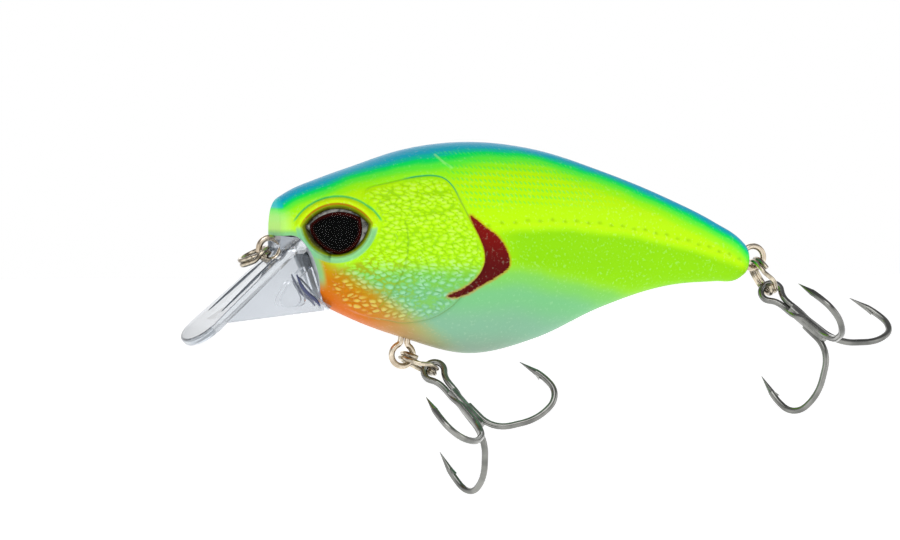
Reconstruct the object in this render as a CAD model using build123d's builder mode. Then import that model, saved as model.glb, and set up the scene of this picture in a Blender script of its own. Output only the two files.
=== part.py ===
"""Squarebill crankbait: a hollow two-shell body, a clear diving lip and two treble hooks.

Millimetres. The origin is the centre of the line tie's eye, +X runs from the nose to the
tail and +Z is up, so the fish's left side faces -Y.
"""
import os
from math import cos, radians, sin

from build123d import *

os.makedirs("parts", exist_ok=True)

# ------------------------------------------------------------------ driving dimensions
# Body stations: distance from the nose, height of the back, height of the belly, half width.
STATIONS = [
    (0.6, 6.3, -2.0, 3.1),
    (2.6, 7.5, -3.9, 4.3),
    (6.6, 9.1, -6.9, 6.3),
    (11.0, 10.6, -9.1, 7.7),
    (18.0, 12.8, -11.6, 8.5),
    (27.0, 13.8, -13.7, 8.6),
    (36.0, 12.8, -11.8, 7.5),
    (45.0, 10.05, -7.85, 5.6),
    (54.0, 6.55, -5.15, 3.9),
    (61.0, 3.2, -4.6, 2.7),
    (64.4, 1.1, -4.15, 1.95),
    (65.6, -0.1, -3.2, 1.3),
]
LEVEL_SHARE = 0.54            # how far up each section its widest level lies
WALL = 1.4
CORE_FIRST, CORE_LAST = 1, 10  # stations between which the body is hollow

MOUTH_TOP = 1.7               # height at which the painted snout ends
EYE_CENTRE = (6.9, 6.37, 2.0)  # distance from the nose, distance from the middle, height
EYE_TURN = 23.6               # degrees by which each eye looks forward
EYE_SEAT_DEPTH = 1.9
# Arcs of the eye's two outlines, as (rearward, up) from its centre: start, middle and end.
PUPIL_ARCS = [
    ((-3.45, 1.0), (0.3, 2.75), (3.1, 2.0)),
    ((3.1, 2.0), (3.15, -0.43), (0.3, -2.62)),
    ((0.3, -2.62), (-1.9, -1.55), (-3.45, 1.0)),
]
SOCKET_ARCS = [
    ((-4.35, 1.0), (0.2, 3.65), (4.6, 1.3)),
    ((4.6, 1.3), (0.2, -2.95), (-4.35, 1.0)),
]
EYE_TIP_ROUND = 0.3
FOIL_THICK, PUPIL_THICK = 0.35, 0.2
LENS_ROUND = 1.1

LIP_ANGLE = 42.0              # slope of the lip below the horizontal
LIP_ROOT = (2.05, 0.5)        # top edge of the lip's root, in the middle plane
LIP_ROOT_HALF, LIP_TIP_HALF = 3.45, 5.6
LIP_STRAIGHT, LIP_END = 15.5, 2.75   # length of the straight sides, and of the rounded end
LIP_THICK = 1.15
LIP_EDGE_ROUND = 0.35         # of the rounded end's edges
WEB_HALF = 1.5

EYELET_WIRE = 0.8
EYELET_RADIUS = 1.45          # wire's centre line around an eyelet
EYELET_ROOM = 1.93            # radius of the slot that takes an eyelet's embedded side
ANCHOR_RADIUS = 1.2           # the same around the inner eye that a post holds
POST_RADIUS = 0.72
NECK_ROUND = 0.7              # radius with which the eyes run into the neck
LEG_SPREAD = 0.45             # from the middle of an eyelet's neck to each leg's centre line

RING_WIRE = 0.6
RING_PITCH = 0.64             # between the two coils of a split ring
RING_JOG = 26.0               # half the angle over which the wire steps to its second coil

HOOK_WIRE = 0.86
HOOK_EYE_RADIUS = 1.34
HOOK_SEAT = 0.1               # how far the ring's wire lies past the middle of the hook's eye
SHANK_SPREAD = 0.54           # from a treble's axis to each shank's centre line
SINGLE_START = 6.8            # where the third shank begins, from the hook's eye
# Runs of one hook in its own plane: distance along the shank, and out from the axis. Every
# corner between two runs is rounded with the radius below.
HOOK_RUNS = [(11.66, 0.84), (14.21, 6.35), (13.27, 10.61), (9.88, 10.58), (6.06, 9.41)]
HOOK_RADII = [4.2, 6.3, 2.6, 8.0]
POINT_LENGTH = 2.7
BARB_LENGTH, BARB_RISE, BARB_THICK = 1.5, 0.55, 0.4

KNOCKER_RADIUS, KNOCKER_CENTRE, KNOCKER_ROOM = 2.5, (37.0, 0, 4.2), 11.6
RATTLE_RADIUS, RATTLE_CENTRE, RATTLE_ROOM = 1.5, (20.5, 0, 5.6), 12.8
RATTLE_GAP = 0.06
BALL_PLAY = 0.2               # between a ball and its chamber
CHAMBER_WALL = 0.8
BALLAST_RADIUS, BALLAST_LENGTH, BALLAST_CENTRE = 3.0, 9.0, (26.5, 0, -8.9)

SIDE = Vector(0, 1, 0)


def place(x, z):
    """Point of the middle plane."""
    return Vector(x, 0, z)


def save(builder, label):
    """Label a finished piece and write it as the node of that name."""
    builder.part.label = label
    export_step(builder.part, f"parts/{label}.step")


# ------------------------------------------------------------------------- body volume
def body_volume(stations, inset):
    """Loft through egg-shaped sections, each two half ellipses joined at the widest level."""
    with BuildPart() as volume:
        for x, back, belly, half in stations:
            level = belly + LEVEL_SHARE * (back - belly)
            with BuildSketch(Plane((x, 0, level), x_dir=(0, 1, 0), z_dir=(1, 0, 0))):
                with BuildLine():
                    EllipticalCenterArc((0, 0), half - inset, back - level - inset, 0, arc_size=180)
                    EllipticalCenterArc((0, 0), half - inset, level - belly - inset, 180, arc_size=180)
                make_face()
        loft()
    return volume.part


def cross_rod(x, z, radius, length, y=0.0, mode=Mode.ADD):
    """Cylinder along Y, centred at y."""
    with Locations((x, y, z)):
        Cylinder(radius, length, rotation=(90, 0, 0), mode=mode)


outer = body_volume(STATIONS, 0)
inner = body_volume(STATIONS[CORE_FIRST:CORE_LAST], WALL)

# ------------------------------------------------------------------------ wire hangers
# Each hanger is a figure-eight of wire: a ring outside, a neck, and an inner eye around a post.
LINE_TIE = (place(0, 0), place(6.3, 1.9))
BELLY_HANGER = (place(17.95, -13.85), place(18.6, -8.5))
TAIL_HANGER = (place(66.4, -1.4), place(60.2, -0.75))
HANGERS = {"line_tie": LINE_TIE, "belly_hanger": BELLY_HANGER, "tail_hanger": TAIL_HANGER}


def hanger_plane(eyelet, anchor):
    """Plane of a hanger, with its X from the eyelet to the anchor."""
    along = (anchor - eyelet).normalized()
    return Plane(eyelet, x_dir=along, z_dir=along.cross(SIDE).cross(along))


def hanger_wire(eyelet, anchor):
    """One closed loop of wire bent into two eyes with a double neck."""
    plane = hanger_plane(eyelet, anchor)
    length = (anchor - eyelet).length
    reach = (EYELET_RADIUS**2 - LEG_SPREAD**2) ** 0.5
    hold = (ANCHOR_RADIUS**2 - LEG_SPREAD**2) ** 0.5
    middle = (length / 2, LEG_SPREAD)
    with BuildPart() as wire:
        with BuildLine(plane) as path:
            Line(middle, (reach, LEG_SPREAD))
            ThreePointArc((reach, LEG_SPREAD), (-EYELET_RADIUS, 0), (reach, -LEG_SPREAD))
            Line((reach, -LEG_SPREAD), (length - hold, -LEG_SPREAD))
            ThreePointArc((length - hold, -LEG_SPREAD), (length + ANCHOR_RADIUS, 0),
                          (length - hold, LEG_SPREAD))
            Line((length - hold, LEG_SPREAD), middle)
            corners = [v for v in path.vertices() if abs(plane.to_local_coords(v).X - middle[0]) > 0.1]
            fillet(corners, NECK_ROUND)
        with BuildSketch(Plane(plane.from_local_coords(Vector(*middle)), z_dir=plane.x_dir)):
            Circle(EYELET_WIRE / 2)
        sweep(path=path.wires()[0])
    return wire


def hanger_slot(eyelet, anchor):
    """Room for a hanger in the shells, around the post that holds its inner eye."""
    plane = hanger_plane(eyelet, anchor)
    length = (anchor - eyelet).length
    with BuildPart() as slot:
        with BuildSketch(plane):
            with Locations((length / 2, 0)):
                Rectangle(length, 2 * LEG_SPREAD + EYELET_WIRE + 0.1)
            with Locations((length, 0)):
                Circle(ANCHOR_RADIUS + EYELET_WIRE / 2 + 0.08)
                Circle(POST_RADIUS, mode=Mode.SUBTRACT)
        extrude(amount=EYELET_WIRE / 2 + 0.04, both=True)
    return slot.part


# -------------------------------------------------------------------------- diving lip
lip_slope = Vector(-cos(radians(LIP_ANGLE)), 0, -sin(radians(LIP_ANGLE)))
lip_normal = Vector(-sin(radians(LIP_ANGLE)), 0, cos(radians(LIP_ANGLE)))
lip_top = Plane(place(*LIP_ROOT), x_dir=lip_slope, z_dir=lip_normal)

with BuildPart() as lip_plate:
    with BuildSketch(lip_top):
        with BuildLine():
            Line((0, -LIP_ROOT_HALF), (LIP_STRAIGHT, -LIP_TIP_HALF))
            EllipticalCenterArc((LIP_STRAIGHT, 0), LIP_END, LIP_TIP_HALF, -90, arc_size=180)
            Polyline((LIP_STRAIGHT, LIP_TIP_HALF), (0, LIP_ROOT_HALF), (0, -LIP_ROOT_HALF))
        make_face()
    extrude(amount=-LIP_THICK)
    fillet(lip_plate.edges().filter_by(GeomType.ELLIPSE), LIP_EDGE_ROUND)

# Outlines in the middle plane: the shells' mouth, and what the clear moulding fills of it.
MOUTH_RIM = [(2.7, 1.45), (3.9, 0.0), (5.15, -2.9), (6.4, -6.8), (8.3, -9.0)]
mouth_outline = [(-3, MOUTH_TOP), (0.6, MOUTH_TOP)] + MOUTH_RIM + [(8.3, -13), (-3, -13)]
chin_outline = [(-1, MOUTH_TOP), (0.6, MOUTH_TOP), (2.7, 1.45), (3.9, 0.0), (3.3, -0.6),
                (2.6, -0.3), (2.2, 0.45), (-3, -4.5)]
web_outline = [(2.3, -0.1), (5.4, -1.1), (10.6, -2.6), (10.6, -6.1), (8.4, -6.8), (7.5, -7.9),
               (-8.3, -9.75)]
plug_outline = [(3.4, -3.7), (4.9, -2.3), (5.15, -2.9), (6.4, -6.8), (7.3, -7.8)]
web_pocket = [(2.9, -3.1), (4.9, -7.3), (0.2, -7.7)]
LIP_PIN = (8.9, -4.3)
NOTCH_RADIUS, NOTCH_HALF = 1.3, 2.6

with BuildPart() as chin_block:
    add(outer)
    with BuildSketch(Plane.XZ):
        with BuildLine():
            Polyline(*chin_outline, close=True)
        make_face()
    extrude(amount=10, both=True, mode=Mode.INTERSECT)

with BuildPart() as throat_plug:
    with BuildSketch(Plane.XZ):
        with BuildLine():
            Polyline(*plug_outline, close=True)
        make_face()
    extrude(amount=2.7, both=True)

with BuildPart() as diving_lip:
    with BuildSketch(Plane.XZ):
        with BuildLine():
            Polyline(*web_outline, close=True)
        make_face()
    extrude(amount=WEB_HALF, both=True)
    for side in (-1, 1):
        with BuildSketch(Plane.XZ.offset(side * WEB_HALF)):
            with BuildLine():
                Polyline(*web_pocket, close=True)
            make_face()
            fillet(vertices(), 0.9)
        extrude(amount=-side * 0.7, mode=Mode.SUBTRACT)
    add(lip_plate.part)
    add(chin_block.part)
    add(throat_plug.part)
    cross_rod(0, 0, NOTCH_RADIUS, 2 * NOTCH_HALF, mode=Mode.SUBTRACT)
    cross_rod(0, 0, EYELET_ROOM, EYELET_WIRE + 0.1, mode=Mode.SUBTRACT)
    cross_rod(*LIP_PIN, 1.05, 20, mode=Mode.SUBTRACT)
    add(hanger_slot(*LINE_TIE), mode=Mode.SUBTRACT)
save(diving_lip, "diving_lip")


# -------------------------------------------------------------------------------- eyes
def eye_plane(side, depth=0.0):
    """Plane of an eye, facing out, with its X towards the tail; side is -1 left, +1 right."""
    turn = radians(EYE_TURN)
    outward = Vector(-sin(turn), side * cos(turn), 0)
    rearward = Vector(cos(turn), side * sin(turn), 0)
    centre = Vector(EYE_CENTRE[0], side * EYE_CENTRE[1], EYE_CENTRE[2])
    return Plane(centre - outward * depth, x_dir=rearward, z_dir=outward)


def eye_outline(side, arcs, depth):
    """Face inside a ring of arcs on the eye's plane; the plane's Y points down on the right."""
    with BuildSketch(eye_plane(side, depth)) as outline:
        with BuildLine():
            for arc in arcs:
                ThreePointArc(*[(rear, -side * up) for rear, up in arc])
        make_face()
        fillet(outline.vertices(), EYE_TIP_ROUND)
    return outline.sketch


def eye_slice(side, arcs, depth, thickness):
    """Flat piece of the eye, its outer face at the given depth."""
    with BuildPart() as piece:
        extrude(eye_outline(side, arcs, depth), amount=-thickness)
    return piece


def build_eye(side, name):
    """Iris foil, pupil and domed lens, stacked in their socket."""
    foil_face = EYE_SEAT_DEPTH - FOIL_THICK
    foil = eye_slice(side, SOCKET_ARCS, foil_face, FOIL_THICK)
    pupil = eye_slice(side, PUPIL_ARCS, foil_face - PUPIL_THICK, PUPIL_THICK)
    with BuildPart() as lens:
        extrude(eye_outline(side, SOCKET_ARCS, foil_face), amount=EYE_SEAT_DEPTH)
        crown = lens.faces().sort_by(Axis(eye_plane(side).origin, eye_plane(side).z_dir))[-1]
        fillet(crown.edges(), LENS_ROUND)
        add(pupil.part, mode=Mode.SUBTRACT)
    save(foil, f"{name}_eye_iris")
    save(pupil, f"{name}_eye_pupil")
    save(lens, f"{name}_eye_lens")


build_eye(-1, "left")
build_eye(1, "right")

# -------------------------------------------------------------------------- body shells
BULKHEADS = [12.6, 31.2, 42.8, 52.5]
BOSSES = [(13.6, 8.3), (28.5, 9.6), (35.5, -8.2), (48.5, 2.0), LIP_PIN]
PIN_RADIUS, BOSS_RADIUS = 0.95, 1.9
EYE_WALL_RADIUS = 5.6         # of the solid disc behind each eye's seat

with BuildPart() as core:
    add(inner)
    for bulkhead in BULKHEADS:
        with Locations((bulkhead, 0, 0)):
            Box(1.0, 40, 40, mode=Mode.SUBTRACT)
    for x, z in BOSSES:
        cross_rod(x, z, BOSS_RADIUS, 40, mode=Mode.SUBTRACT)
    for eyelet, anchor in HANGERS.values():
        cross_rod(anchor.X, anchor.Z, 3.0, 40, mode=Mode.SUBTRACT)
    for side in (-1, 1):
        with BuildSketch(eye_plane(side, EYE_SEAT_DEPTH + 1.2)):
            Circle(EYE_WALL_RADIUS)
        extrude(amount=10, mode=Mode.SUBTRACT)
    with Locations(KNOCKER_CENTRE):
        chamber = KNOCKER_RADIUS + BALL_PLAY + CHAMBER_WALL
        Cylinder(chamber, KNOCKER_ROOM + 2, rotation=(0, 90, 0), mode=Mode.SUBTRACT)
    cross_rod(RATTLE_CENTRE[0], RATTLE_CENTRE[2], RATTLE_RADIUS + BALL_PLAY + CHAMBER_WALL, 40,
              mode=Mode.SUBTRACT)
    with Locations((BALLAST_CENTRE[0], 0, BALLAST_CENTRE[2] - 6)):
        Box(BALLAST_LENGTH - 3, 40, 12, mode=Mode.SUBTRACT)

with BuildPart() as casing:
    add(outer)
    with BuildSketch(Plane.XZ):
        with BuildLine():
            Polyline(*mouth_outline, close=True)
        make_face()
    extrude(amount=12, both=True, mode=Mode.SUBTRACT)
    add(core.part, mode=Mode.SUBTRACT)
    with Locations(KNOCKER_CENTRE):
        Cylinder(KNOCKER_RADIUS + BALL_PLAY, KNOCKER_ROOM, rotation=(0, 90, 0),
                 mode=Mode.SUBTRACT)
    cross_rod(RATTLE_CENTRE[0], RATTLE_CENTRE[2], RATTLE_RADIUS + BALL_PLAY, RATTLE_ROOM,
              mode=Mode.SUBTRACT)
    with Locations(BALLAST_CENTRE):
        Cylinder(BALLAST_RADIUS, BALLAST_LENGTH, rotation=(0, 90, 0), mode=Mode.SUBTRACT)
    for side in (-1, 1):
        extrude(eye_outline(side, SOCKET_ARCS, EYE_SEAT_DEPTH), amount=6, mode=Mode.SUBTRACT)
    for eyelet, anchor in HANGERS.values():
        add(hanger_slot(eyelet, anchor), mode=Mode.SUBTRACT)
    cross_rod(TAIL_HANGER[0].X, TAIL_HANGER[0].Z, 1.25, 6, mode=Mode.SUBTRACT)
    for eyelet, _ in (BELLY_HANGER, TAIL_HANGER):
        cross_rod(eyelet.X, eyelet.Z, EYELET_ROOM, EYELET_WIRE + 0.1, mode=Mode.SUBTRACT)
    add(diving_lip.part, mode=Mode.SUBTRACT)

with BuildPart() as left_shell:
    add(casing.part)
    split(bisect_by=Plane.XZ, keep=Keep.TOP)
    for x, z in BOSSES:
        cross_rod(x, z, PIN_RADIUS, 4.0, y=0)
save(left_shell, "left_shell")

with BuildPart() as right_shell:
    add(casing.part)
    split(bisect_by=Plane.XZ, keep=Keep.BOTTOM)
    for x, z in BOSSES:
        cross_rod(x, z, PIN_RADIUS + 0.05, 4.2, y=0, mode=Mode.SUBTRACT)
save(right_shell, "right_shell")

for label, (eyelet, anchor) in HANGERS.items():
    save(hanger_wire(eyelet, anchor), label)

# --------------------------------------------------------------- ballast, knocker, rattle
with BuildPart() as belly_ballast:
    with Locations(BALLAST_CENTRE):
        Cylinder(BALLAST_RADIUS, BALLAST_LENGTH, rotation=(0, 90, 0))
    chamfer(belly_ballast.edges().filter_by(GeomType.CIRCLE), 0.4)
save(belly_ballast, "belly_ballast")

with BuildPart() as knocker_ball:
    with Locations(KNOCKER_CENTRE):
        Sphere(KNOCKER_RADIUS)
save(knocker_ball, "knocker_ball")

for number in (1, 2, 3):
    with BuildPart() as rattle_ball:
        step = (number - 2) * (2 * RATTLE_RADIUS + RATTLE_GAP)
        with Locations((RATTLE_CENTRE[0], step, RATTLE_CENTRE[2])):
            Sphere(RATTLE_RADIUS)
    save(rattle_ball, f"rattle_ball_{number}")


# --------------------------------------------------------------------------- split rings
def split_ring(label, eyelet, hang_angle, radius, slack):
    """Double coil of wire hanging from an eyelet; returns its middle and its direction.

    hang_angle is measured from +X down towards -Z, radius is the wire's centre line, and
    slack is how far the wire sits from the eyelet's centre.
    """
    hang = Vector(cos(radians(hang_angle)), 0, -sin(radians(hang_angle)))
    middle = eyelet + hang * (radius + slack)
    frame = Plane(middle, x_dir=hang, z_dir=hang.cross(SIDE))

    def on_coil(angle, level):
        turn = radians(angle - 90)
        return frame.from_local_coords(Vector(radius * cos(turn), radius * sin(turn),
                                              level * RING_PITCH / 2))

    with BuildPart() as ring:
        with BuildLine() as coil:
            ThreePointArc(on_coil(RING_JOG, -1), on_coil(180, -1), on_coil(360 - RING_JOG, -1))
            Spline(on_coil(360 - RING_JOG, -1), on_coil(360, 0), on_coil(360 + RING_JOG, 1),
                   tangents=(on_coil(360 - RING_JOG + 1, -1) - on_coil(360 - RING_JOG - 1, -1),
                             on_coil(RING_JOG + 1, 1) - on_coil(RING_JOG - 1, 1)))
            ThreePointArc(on_coil(RING_JOG, 1), on_coil(180, 1), on_coil(360 - RING_JOG, 1))
        with BuildSketch(Plane(coil.line @ 0, z_dir=coil.line % 0)):
            Circle(RING_WIRE / 2)
        sweep(path=coil.wires()[0])
    save(ring, label)
    return middle, hang


RINGS = {
    "nose_split_ring": (LINE_TIE[0], 154.6, 1.94, 0.3),
    "belly_split_ring": (BELLY_HANGER[0], 26.6, 2.48, 0.0),
    "tail_split_ring": (TAIL_HANGER[0], 60.8, 2.48, 0.4),
}
ring_frames = {label: split_ring(label, *spec) for label, spec in RINGS.items()}


# -------------------------------------------------------------------------- treble hooks
TWIST_START, TWIST_MIDDLE, TWIST_END = 4.0, 5.3, 6.6   # where the two shanks turn about each other
PAIR_SPREAD = 0.46
EYE_OPENING = 52.0            # half the angle at which the legs leave the hook's eye
BRAZE_FROM, BRAZE_TO, BRAZE_RADIUS = 3.9, 10.2, 0.74


def build_treble(label, eye, shank_direction, single_direction, eye_turn):
    """Double hook with the eye, a single hook brazed to it, and the braze between them.

    eye_turn is the angle about the shank from the single hook's plane to the eye's plane.
    """
    shank = Vector(*shank_direction).normalized()
    single = Vector(*single_direction)
    single = (single - shank * single.dot(shank)).normalized()
    across = shank.cross(single)

    def radial(angle):
        return single * cos(radians(angle)) + across * sin(radians(angle))

    def spot(along, out, angle):
        return eye + shank * along + radial(angle) * out

    def bend(start, angle, backwards=False):
        """Shank and bend of one hook, up to where its point begins to taper."""
        tip, corner = Vector(*HOOK_RUNS[-1]), Vector(*HOOK_RUNS[-2])
        base = tip + (corner - tip).normalized() * POINT_LENGTH
        runs = [(start, SHANK_SPREAD)] + HOOK_RUNS[:-1] + [(base.X, base.Y)]
        corners = [spot(along, out, angle) for along, out in runs]
        rounds = HOOK_RADII
        if backwards:
            corners, rounds = corners[::-1], rounds[::-1]
        FilletPolyline(*corners, radius=rounds)

    def needle(angle):
        """Tapered point and its barb, on the side that faces the shank."""
        plane = Plane(eye, x_dir=shank, z_dir=shank.cross(radial(angle)))
        tip, corner = Vector(*HOOK_RUNS[-1]), Vector(*HOOK_RUNS[-2])
        back = (corner - tip).normalized()
        inward = Vector(back.Y, -back.X)
        taper = tip + back * POINT_LENGTH
        base = spot(taper.X, taper.Y, angle)
        with Locations(Plane(base, z_dir=spot(tip.X, tip.Y, angle) - base)):
            Cone(HOOK_WIRE / 2, 0.03, POINT_LENGTH, align=(Align.CENTER, Align.CENTER, Align.MIN))
        root = tip + back * (POINT_LENGTH - 0.5) + inward * 0.2
        with BuildSketch(plane) as barb:
            with BuildLine():
                Polyline(root, root + back * BARB_LENGTH + inward * BARB_RISE,
                         root + back * BARB_LENGTH * 0.75, close=True)
            make_face()
        extrude(barb.sketch, amount=BARB_THICK / 2, both=True)

    def leg(shank_angle, eye_side, backwards=False):
        """Twist from the shank's place to a leg of the eye; eye_side is +1 or -1."""
        leg_angle = eye_turn if eye_side > 0 else eye_turn + 180
        opening = radians(EYE_OPENING)
        knots = [
            spot(TWIST_END, SHANK_SPREAD, shank_angle),
            spot(TWIST_MIDDLE, (SHANK_SPREAD + PAIR_SPREAD) / 2, (shank_angle + leg_angle) / 2),
            spot(TWIST_START, PAIR_SPREAD, leg_angle),
            spot(HOOK_EYE_RADIUS * cos(opening), HOOK_EYE_RADIUS * sin(opening), leg_angle),
        ]
        run = spot(*HOOK_RUNS[0], shank_angle) - knots[0]
        leave = shank * sin(opening) - radial(leg_angle) * cos(opening)
        tangents = [run * -1, leave * -1]
        if backwards:
            knots, tangents = knots[::-1], [leave, run]
        Spline(*knots, tangents=tangents)
        return knots[0] if backwards else knots[-1]

    with BuildPart() as double_hook:
        with BuildLine() as wire:
            bend(TWIST_END, 120, backwards=True)
            lower = leg(120, -1)
            upper = leg(-120, 1, backwards=True)
            ThreePointArc(lower, spot(-HOOK_EYE_RADIUS, 0, 0), upper)
            bend(TWIST_END, -120)
        path = wire.wires()[0]
        with BuildSketch(Plane(path @ 0, z_dir=path % 0)):
            Circle(HOOK_WIRE / 2)
        sweep(path=path)
        needle(120)
        needle(-120)
    save(double_hook, f"{label}_double_hook")

    with BuildPart() as single_hook:
        with BuildLine() as wire:
            bend(SINGLE_START, 0)
        path = wire.wires()[0]
        with BuildSketch(Plane(path @ 0, z_dir=path % 0)):
            Circle(HOOK_WIRE / 2)
        sweep(path=path)
        needle(0)
    save(single_hook, f"{label}_single_hook")

    with BuildPart() as braze:
        with Locations(Plane(spot(BRAZE_FROM, 0, 0), z_dir=shank)):
            Cylinder(BRAZE_RADIUS, BRAZE_TO - BRAZE_FROM,
                     align=(Align.CENTER, Align.CENTER, Align.MIN))
        add(double_hook.part, mode=Mode.SUBTRACT)
        add(single_hook.part, mode=Mode.SUBTRACT)
    save(braze, f"{label}_braze")


# Each treble at rest: direction of its shank, direction of its single hook's bend, eye turn.
TREBLES = {
    "belly": ((0.431, -0.597, -0.677), (0.822, -0.05, 0.568), 0),
    "tail": ((0.511, -0.629, -0.586), (-0.493, 0.344, -0.799), -30),
}
for end, pose in TREBLES.items():
    ring_middle, ring_hang = ring_frames[f"{end}_split_ring"]
    reach = RINGS[f"{end}_split_ring"][2] - HOOK_SEAT
    build_treble(end, ring_middle + ring_hang * reach, *pose)
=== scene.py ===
"""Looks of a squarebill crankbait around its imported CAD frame.

Lengths in the constants are millimetres, as in the CAD source; meshes are in metres.
"""
from math import cos, pi, radians, sin

import bpy
import numpy as np
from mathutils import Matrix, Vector, noise


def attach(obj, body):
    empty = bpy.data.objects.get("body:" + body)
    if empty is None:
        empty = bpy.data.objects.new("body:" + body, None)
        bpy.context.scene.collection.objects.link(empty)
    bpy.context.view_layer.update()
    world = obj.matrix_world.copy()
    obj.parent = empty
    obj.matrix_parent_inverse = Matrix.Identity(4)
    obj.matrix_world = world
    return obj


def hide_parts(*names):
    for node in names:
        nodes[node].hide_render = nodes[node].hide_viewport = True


MM = 0.001
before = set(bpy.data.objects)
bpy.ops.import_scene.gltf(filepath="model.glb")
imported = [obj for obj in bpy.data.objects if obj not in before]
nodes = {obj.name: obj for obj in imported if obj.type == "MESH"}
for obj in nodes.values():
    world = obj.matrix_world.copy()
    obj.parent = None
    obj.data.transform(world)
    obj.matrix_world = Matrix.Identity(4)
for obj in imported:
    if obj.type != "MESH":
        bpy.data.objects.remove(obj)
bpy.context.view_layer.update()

# ------------------------------------------------------------------ body measurements
# Distance from the nose, height of the back, height of the belly, half width.
STATIONS = np.array([
    (0.6, 6.3, -2.0, 3.1),
    (2.6, 7.5, -3.9, 4.3),
    (6.6, 9.1, -6.9, 6.3),
    (11.0, 10.6, -9.1, 7.7),
    (18.0, 12.8, -11.6, 8.5),
    (27.0, 13.8, -13.7, 8.6),
    (36.0, 12.8, -11.8, 7.5),
    (45.0, 10.05, -7.85, 5.6),
    (54.0, 6.55, -5.15, 3.9),
    (61.0, 3.2, -4.6, 2.7),
    (64.4, 1.1, -4.15, 1.95),
    (65.6, -0.1, -3.2, 1.3),
])
NOSE, TAIL = STATIONS[0, 0], STATIONS[-1, 0]
LEVEL_SHARE = 0.54            # height of the widest place, from the belly to the back
WALL = 1.4
EDGE_ROUND = 0.55             # rounding of the snout's and the tail's end faces
# Edge of the shells over the lip's root, as (distance from the nose, height), and where it ends.
MOUTH = np.array([(-3, 1.7), (0.6, 1.7), (2.6, 1.5), (3.9, 0.0), (5.15, -2.9), (6.4, -6.8), (8.3, -9.0)])
MOUTH_END = 8.3

EYE_CENTRE = (6.9, 6.37, 2.0)
EYE_TURN = radians(23.6)      # of the eye's plane, from the middle plane
EYE_SEAT = 1.9                # depth of the socket's flat seat
HEAD_END = 16                 # the eye's relief is in front of here
OFF_EYE = 20                  # stands for far away from the eye
LENS_INSET = (0.30, 0.47, 0.74)   # of the lens inside the socket's edge: below, elsewhere, lower front
# Arcs of the eye's two outlines, as (rearward, up) from its centre: start, middle and end.
PUPIL_ARCS = [
    ((-3.45, 1.0), (0.3, 2.75), (3.1, 2.0)),
    ((3.1, 2.0), (3.15, -0.43), (0.3, -2.62)),
    ((0.3, -2.62), (-1.9, -1.55), (-3.45, 1.0)),
]
SOCKET_ARCS = [
    ((-4.35, 1.0), (0.2, 3.65), (4.6, 1.3)),
    ((4.6, 1.3), (0.2, -2.95), (-4.35, 1.0)),
]

# Curves on the side of the fish, as (distance from the nose, height).
GILL_COVER = [(11.2, 7.4), (14.2, 8.4), (18.5, 9.2), (21.0, 9.1), (22.3, 8.0), (23.1, 6.2), (24.3, 3.7),
              (25.7, 1.2), (26.4, -1.2), (25.8, -3.2), (24.3, -4.9), (22.3, -7.3), (20.0, -8.8),
              (17.0, -9.4), (14.6, -9.0), (11.5, -8.4), (8.6, -7.0), (6.6, -4.4), (7.5, -2.5),
              (10.6, -0.6), (11.8, 2.0), (11.5, 4.8)]
CHEEK_LINE = [(15.3, 5.2), (15.7, 3.2), (16.0, 1.0), (15.8, -1.3), (15.3, -3.2), (14.3, -5.4), (13.2, -7.2)]
BLUSH = [(24.5, 4.3), (26.4, 2.9), (28.3, 1.5), (29.6, -0.4), (29.9, -2.2), (28.6, -3.4), (26.4, -4.6),
         (23.9, -6.0), (21.6, -5.9), (23.6, -5.0), (25.2, -3.8), (26.2, -2.3), (26.4, -0.6), (25.8, 1.2)]
NECK_LINE = [(21.2, 12.1), (21.9, 11.2), (22.8, 10.5)]
LATERAL = np.array([(27.0, 3.1), (31.0, 3.5), (35.3, 3.65), (39.2, 3.5), (43.1, 3.2), (46.7, 2.75),
                    (50.2, 2.2), (53.5, 1.5), (56.7, 0.7), (59.8, -0.2), (62.8, -1.2), (64.4, -1.7)])

# Heights and depths of the relief.
GILL_STEP, GILL_STEP_FRONT = 0.40, 0.10   # of the gill cover's edge: behind the eye, and in front
GILL_GROOVE = 0.10
CHEEK_SWELL, CHEEK_GROOVE = 0.12, 0.07
PEBBLE_HEIGHT = 0.28
FLANK_HOLLOW = 0.32
BLUSH_DEPTH, NECK_STEP = 0.10, 0.06
DIMPLES = 23                  # along the lateral line
DIMPLE_DEPTH, DIMPLE_RIDGE, DIMPLE_RADIUS = 0.16, 0.07, 0.24
DIMPLE_PITCH, DIMPLE_CLOSING = 1.86, 0.42     # spacing at the head, and how much less at the tail
RIM_HEIGHT, BROW_HEIGHT, BROW_CREASE = 0.26, 0.22, 0.12
SOCKET_SLOPE = 0.30

LIP_ANGLE = radians(42)
LIP_ROOT = (2.05, 0.5)        # top edge of the lip's root, in the middle plane


# ------------------------------------------------------------------------ small helpers
def follow(table, x, column=1):
    """Smooth curve through a table's points, clamped to its ends."""
    xs, ys = table[:, 0], table[:, column]
    slopes = np.gradient(ys, xs)
    x = np.clip(x, xs[0], xs[-1])
    k = np.clip(np.searchsorted(xs, x) - 1, 0, len(xs) - 2)
    span = xs[k + 1] - xs[k]
    t = (x - xs[k]) / span
    return ((2 * t**3 - 3 * t**2 + 1) * ys[k] + (t**3 - 2 * t**2 + t) * span * slopes[k]
            + (3 * t**2 - 2 * t**3) * ys[k + 1] + (t**3 - t**2) * span * slopes[k + 1])


def back(x):
    return follow(STATIONS, x, 1)


def belly(x):
    return follow(STATIONS, x, 2)


def half_width(x):
    return follow(STATIONS, x, 3)


def smooth(low, high, value):
    """0 below low, 1 above high, smooth in between."""
    t = np.clip((value - low) / (high - low), 0, 1)
    return t * t * (3 - 2 * t)


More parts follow.
